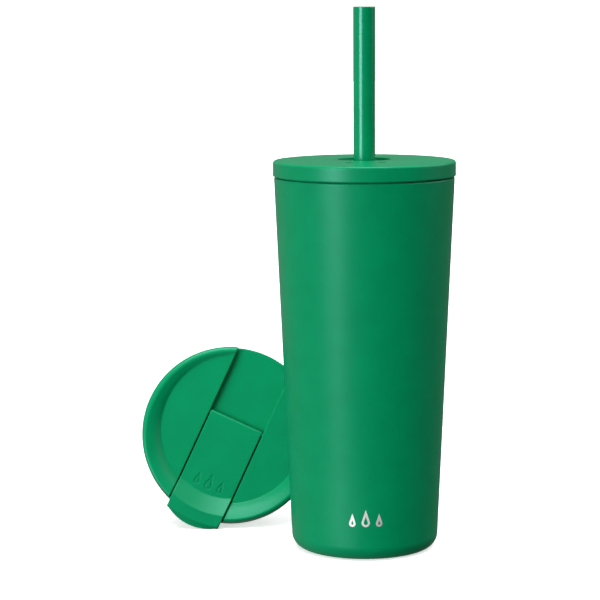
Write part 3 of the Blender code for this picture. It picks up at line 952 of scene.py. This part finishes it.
def channel_distance(x, y, z, r):
    """The tab's channel: flat from its rear end to the bend, then up along a ramp."""
    start_y = -np.sqrt(np.maximum(TAB_UNDER_BEND_R**2 - x**2, 1.0))
    climb = np.clip((r - TAB_UNDER_BEND_R) / (TAB_UNDER_TOP_R - TAB_UNDER_BEND_R), 0, 1)
    climb = np.where(y < CHANNEL_RAMP_Y, climb, 0)
    low = panel_z(np.where(climb > 0, start_y, y)) - CHANNEL_DEPTH
    floor = low + (TAB_UNDER_TOP_Z - GAP - low) * climb
    return np.maximum(np.abs(x) - CHANNEL_HALF, (floor - z) * 0.97)


def cover_distance(x, y, z):
    r = np.hypot(x, y)
    plane = z - panel_z(y)
    crest = meet(r - RIM_R, z, rim_round(y, r))
    solid = np.maximum(join(rim_distance(x, y, z, r), plane, 0.3), crest)
    solid = np.maximum(solid, SKIRT(r, z))
    rear = np.clip((y - CHANNEL_REAR_Y) / 4, 0, 1)
    solid = meet(solid, -channel_distance(x, y, z, r), 0.35 + 0.5 * rear)
    drink = DRINK_SLOT(x, y)
    vent = np.hypot(x, y - VENT_HOLE_Y) - VENT_HOLE_R
    pin = np.hypot(y - HINGE_Y, z - HINGE_Z) - PIN_R - GAP
    pin = np.maximum(pin, np.abs(x) - PIN_HALF - GAP)
    pockets = under_pockets(x, y, z, r)
    voids = np.minimum(np.minimum(drink, vent), np.minimum(pin, pockets))
    return meet(solid, -voids, 0.25)


def under_pockets(x, y, z, r):
    """Three hollows under the panels and the channel, which keep the walls even."""
    side_x = np.abs(x)
    highest = FLIP_SEAT_Z + POCKET_DEPTH_OVER_SEAT
    panel_top = np.minimum(panel_z(y) - PANEL_THICK, highest)
    middle_top = np.minimum(panel_z(y) - CHANNEL_DEPTH - CHANNEL_FLOOR_THICK, highest)
    sides = np.maximum(CHANNEL_HALF + CHANNEL_WALL - side_x, z - panel_top)
    middle = np.maximum(side_x - CHANNEL_HALF, z - middle_top)
    return np.maximum(r - POCKET_R, np.minimum(sides, middle))


def insert_distance(x, y, z):
    solid = INSERT(np.hypot(x, y), z)
    vent = np.hypot(x, y - VENT_HOLE_Y) - VENT_HOLE_R
    return meet(solid, -np.minimum(DRINK_SLOT(x, y), vent), 0.4)


INSERT = Outline(plug_outline(COVER_PLUG_Z - GAP, 0))


def above_tab(radius, height, fillet):
    """A tab section's corner, with its height over the tab's sloping flat top."""
    return radius, height - tab_z(-radius), fillet


TAB = Outline(filleted([
    (-HINGE_Y - HINGE_R, 0.0, HINGE_R * 0.9),
    (TAB_BEND_R, 0.0, 1.6),
    above_tab(43.4, 0.95, 0.9),
    above_tab(LIP_EDGE_R, 0.4, 0.6),
    above_tab(LIP_TIP_R, -1.7, 0.5),
    above_tab(51.7, -2.3, 0.4),
    above_tab(46.0, -3.2, 3.0),
    above_tab(TAB_UNDER_TOP_R, TAB_UNDER_TOP_Z, 1.0),
    (TAB_UNDER_BEND_R, -TAB_THICK, 2.0),
    (-HINGE_Y - HINGE_R, -TAB_THICK, HINGE_R * 0.9),
]))


def three_drops(height):
    """The emblem's drops: each one's place across, and its round end's radius and its height."""
    return [(share * height, DROP_ROUND * size * height, size * height) for share, size in DROP_ROW]


TAB_DROPS = [
    Outline([
        (u + offset + TAB_EMBLEM_AT[0], v + TAB_EMBLEM_AT[1]) for u, v in drop_outline(radius, tall)
    ])
    for offset, radius, tall in three_drops(TAB_EMBLEM_HEIGHT)
]


def before_bulge(x, r):
    """The radius at which the tab's section is read: the lip's tip bulges at its middle."""
    pull = LIP_BULGE * (x / TAB_HALF) ** 2 / (LIP_TIP_R - LIP_EDGE_R)
    pull = np.minimum(pull, 0.8 * LIP_BULGE / (LIP_TIP_R - LIP_EDGE_R))
    return np.where(r > LIP_EDGE_R, LIP_EDGE_R + (r - LIP_EDGE_R) / (1 - pull), r)


def tab_distance(x, y, z):
    r = np.hypot(x, y)
    bent = np.clip((-y - TAB_ROUND_Y) / TAB_ROUND_OVER, 0, 1)
    bent = bent * bent * (3 - 2 * bent)
    depth = z - tab_z(y)
    section = TAB(-y * (1 - bent) + before_bulge(x, r) * bent, depth)
    at_tip = np.clip((r - LIP_SOFT_R) / 4, 0, 1)
    solid = meet(section, np.abs(x) - TAB_HALF, 0.4 + 0.7 * at_tip)
    pin = np.hypot(y - HINGE_Y, z - HINGE_Z) - PIN_R - GAP
    vent = np.hypot(x, y - VENT_HOLE_Y) - VENT_HOLE_R
    pockets = np.maximum(np.minimum(DRINK_SLOT(x, y), vent), depth - STOPPER_TOP)
    solid = np.maximum(solid, -np.minimum(pin, pockets))
    half = TAB_EMBLEM_HALF_STROKE
    lines = np.minimum.reduce([np.abs(drop(x, y) + half) - half for drop in TAB_DROPS])
    return meet(solid, -np.maximum(lines, -TAB_EMBLEM_DEPTH - depth), 0.1)


def stopper_distance(outline):
    """A silicone plug with a tapered, rounded end, from its distance in plan."""

    def distance(x, y, z):
        depth = z - tab_z(y)
        taper = np.clip((-CHANNEL_DEPTH - depth) / STOPPER_LENGTH, 0, 1) * 1.5 * GAP
        core = meet(outline(x, y) + GAP + taper, -(depth + CHANNEL_DEPTH + STOPPER_LENGTH), 0.6)
        return np.maximum(core, depth - STOPPER_TOP + GAP)

    return distance


def flip_lid_place():
    """The flip lid's frame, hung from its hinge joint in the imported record."""
    turn = Matrix.Rotation(-FLIP_TURN, 4, "Z")
    tip = Matrix.Rotation(math.radians(90) - FLIP_LEAN, 4, "X")
    roll = Matrix.Rotation(-FLIP_ROLL, 4, "Z")
    place = turn @ tip @ roll
    hinge = next(joint for joint in frame["joints"] if joint["name"] == "flip_tab_hinge")
    local = Vector((0, HINGE_Y, HINGE_Z)) * MM
    place.translation = Vector(hinge["pos_m"]) - place.to_3x3() @ local
    return place


# ---- scene ----


def finish_piece(piece, material, body, node=None):
    """Gives a piece its material and the body it rides on, and hides the imported part of the node it
    stands for.
    """
    piece.data.materials.clear()
    piece.data.materials.append(material)
    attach(piece, body)
    if node:
        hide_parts(node)


def make_camera():
    camera = bpy.data.objects.new("camera", bpy.data.cameras.new("camera"))
    camera.data.lens = CAMERA_LENS
    camera.data.sensor_width = CAMERA_SENSOR
    camera.data.clip_end = 10
    camera.matrix_world = (
        Matrix.Translation(CAMERA_AT)
        @ Matrix.Rotation(math.pi / 2 - CAMERA_PITCH, 4, "X")
        @ Matrix.Rotation(-CAMERA_ROLL, 4, "Z")
    )
    bpy.context.scene.collection.objects.link(camera)
    bpy.context.scene.camera = camera


def add_sun(name, azimuth, elevation, angle, strength):
    """A soft light from far away; azimuth is degrees left of the camera."""
    light = bpy.data.lights.new(name, "SUN")
    light.angle = math.radians(angle)
    light.energy = strength
    lamp = bpy.data.objects.new(name, light)
    a, e = math.radians(azimuth), math.radians(elevation)
    back = Vector((-math.sin(a) * math.cos(e), -math.cos(a) * math.cos(e), math.sin(e)))
    lamp.location = back
    lamp.rotation_mode = "QUATERNION"
    lamp.rotation_quaternion = back.to_track_quat("Z", "Y")
    bpy.context.scene.collection.objects.link(lamp)


def add_floor_card(at, size, power):
    """A bright card lying on the table, which shows only in the tumbler's gloss."""
    light = bpy.data.lights.new("floor_card", "AREA")
    light.size = size
    light.energy = power
    lamp = bpy.data.objects.new("floor_card", light)
    lamp.location = at
    lamp.rotation_euler = (math.pi, 0, 0)
    lamp.visible_camera = False
    lamp.visible_diffuse = False
    bpy.context.scene.collection.objects.link(lamp)


def make_world():
    """Soft light from all round, brighter from the left; gloss sees less and the camera plain white."""
    world = bpy.data.worlds.new("studio")
    world.use_nodes = True
    tree = world.node_tree
    background = tree.nodes["Background"]
    background.inputs["Color"].default_value = (1, 1, 1, 1)
    coords = tree.nodes.new("ShaderNodeTexCoord")
    slant = tree.nodes.new("ShaderNodeVectorMath")
    slant.operation = "DOT_PRODUCT"
    slant.inputs[1].default_value = Vector(SKY_BRIGHT_SIDE).normalized() * SKY_SLANT
    level = tree.nodes.new("ShaderNodeMath")
    level.operation = "ADD"
    level.inputs[1].default_value = SKY_LEVEL
    path = tree.nodes.new("ShaderNodeLightPath")
    mix = tree.nodes.new("ShaderNodeMix")
    mix.inputs[3].default_value = CAMERA_SKY
    gloss = tree.nodes.new("ShaderNodeMix")
    gloss.inputs[2].default_value = 1.0
    gloss.inputs[3].default_value = SKY_GLOSS
    dimmed = tree.nodes.new("ShaderNodeMath")
    dimmed.operation = "MULTIPLY"
    tree.links.new(coords.outputs["Generated"], slant.inputs[0])
    tree.links.new(slant.outputs["Value"], level.inputs[0])
    tree.links.new(path.outputs["Is Camera Ray"], mix.inputs[0])
    tree.links.new(path.outputs["Is Glossy Ray"], gloss.inputs[0])
    tree.links.new(level.outputs["Value"], dimmed.inputs[0])
    tree.links.new(gloss.outputs[0], dimmed.inputs[1])
    tree.links.new(dimmed.outputs["Value"], mix.inputs[2])
    tree.links.new(mix.outputs[0], background.inputs["Strength"])
    bpy.context.scene.world = world


def make_studio():
    bm = bmesh.new()
    bmesh.ops.create_grid(bm, x_segments=8, y_segments=8, size=FLOOR_HALF)
    mesh = bpy.data.meshes.new("floor")
    bm.to_mesh(mesh)
    bm.free()
    mesh.materials.append(make_floor_material())
    floor = bpy.data.objects.new("floor", mesh)
    floor.visible_diffuse = False
    floor.visible_glossy = False
    floor.visible_shadow = False
    bpy.context.scene.collection.objects.link(floor)
    make_world()
    bpy.context.scene.view_settings.view_transform = "Standard"
    for name, *values in SUNS:
        add_sun(name, *values)
    add_floor_card(*FLOOR_CARD)


def main():
    coat = make_powder_coat()
    plastic = make_lid_plastic()
    straw_plastic = make_straw_plastic()
    steel = make_steel()
    silicone = make_silicone()
    green_silicone = make_green_silicone()
    cover_step, tab_step = FULL_STEPS

    finish_piece(make_shell(), coat, "tumbler", "outer_shell")
    finish_piece(make_liner(), steel, "tumbler", "inner_liner")
    finish_piece(make_foot_disc(), steel, "tumbler", "base_cover")
    finish_piece(make_drops(), make_engraved_steel(), "tumbler")

    finish_piece(make_straw_lid_top(), plastic, "straw_lid", "straw_lid_cover")
    straw_plug = turned("straw_lid_plug", plug_outline(LID_UNDERSIDE_Z - GAP, STRAW_HOLE_R + 1.3))
    finish_piece(straw_plug, plastic, "straw_lid", "straw_lid_insert")
    straw_ring = make_ring("straw_lid_ring", LID_UNDERSIDE_Z - GAP, None)
    finish_piece(straw_ring, silicone, "straw_lid", "straw_lid_gasket")
    finish_piece(make_sleeve(), green_silicone, "straw_lid", "straw_grommet")
    finish_piece(make_drinking_straw(), straw_plastic, "straw", "straw")

    place = flip_lid_place()
    cover = netted("flip_lid_top", cover_distance, *COVER_BOX, cover_step, place)
    finish_piece(cover, plastic, "flip_lid", "flip_lid_cover")
    plug = netted("flip_lid_plug", insert_distance, *INSERT_BOX, cover_step, place)
    finish_piece(plug, plastic, "flip_lid", "flip_lid_insert")
    flip_ring = make_ring("flip_lid_ring", COVER_PLUG_Z - GAP, place)
    finish_piece(flip_ring, silicone, "flip_lid", "flip_lid_gasket")

    tab = netted("drink_tab", tab_distance, *TAB_BOX, tab_step, place)
    finish_piece(tab, plastic, "flip_tab", "flip_tab")
    drink_stopper = stopper_distance(DRINK_SLOT)
    stopper = netted("drink_stopper", drink_stopper, *DRINK_STOPPER_BOX, tab_step, place)
    finish_piece(stopper, silicone, "flip_tab", "tab_stopper")
    vent = lambda x, y: np.hypot(x, y - VENT_HOLE_Y) - VENT_HOLE_R
    air_stopper = netted("air_stopper", stopper_distance(vent), *AIR_STOPPER_BOX, tab_step, place)
    finish_piece(air_stopper, silicone, "flip_tab", "vent_stopper")

    carried_over = {
        "base_plate": steel,
        "hinge_pin": plastic,
        "vacuum_seal": make_seal_glass(),
        "getter": make_getter_metal(),
    }
    for node, material in carried_over.items():
        frame["nodes"][node].data.materials.clear()
        frame["nodes"][node].data.materials.append(material)

    make_camera()
    make_studio()


main()
